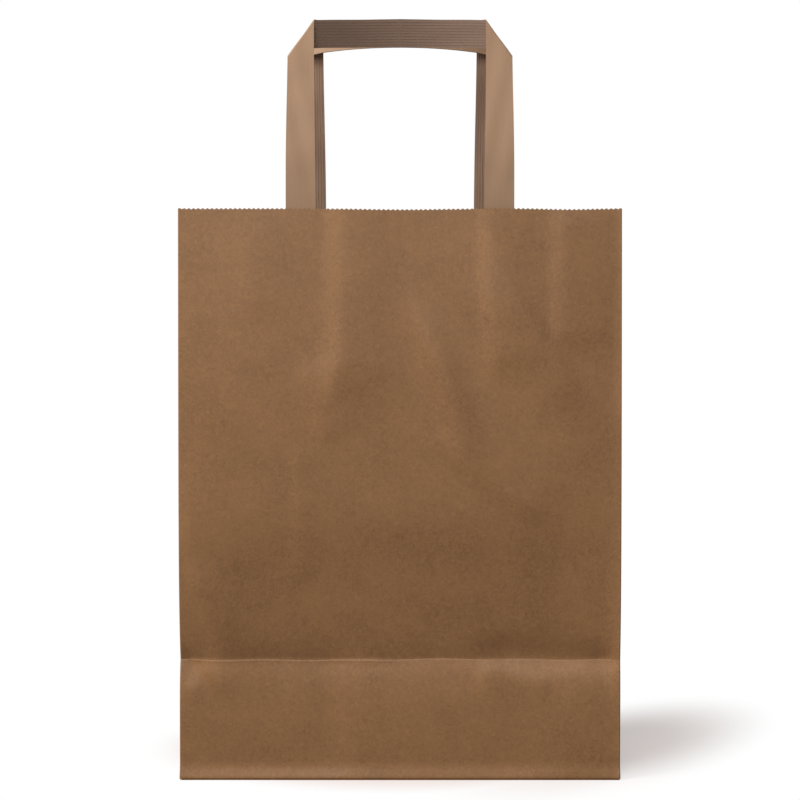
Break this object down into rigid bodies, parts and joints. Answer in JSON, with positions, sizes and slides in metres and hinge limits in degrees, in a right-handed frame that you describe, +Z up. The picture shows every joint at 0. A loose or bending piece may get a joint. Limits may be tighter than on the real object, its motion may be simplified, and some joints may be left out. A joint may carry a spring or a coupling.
{
  "type": "paper carrier bag",
  "caption": "Block-bottom kraft paper carrier bag with folded side gussets, a serrated mouth and flat folded-tape handles glued inside under paper patches.",
  "frame": {"origin": "centre of the base's underside, on the surface the bag stands on", "axes": "+Z up, X across the width of the panels, the front panel faces -Y"},
  "size_m": [0.24, 0.1255, 0.4274],
  "materials": {
    "kraft_paper": "uncoated brown kraft paper, matt, fibrous",
    "handle_tape": "light brown kraft tape, smooth outside and finely ribbed inside",
    "patch_paper": "uncoated brown kraft paper, matt"
  },
  "bodies": {
    "root": {"bag_body": "kraft_paper", "front_handle": "handle_tape", "rear_handle": "handle_tape", "front_patch": "patch_paper", "rear_patch": "patch_paper"}
  },
  "joints": []
}
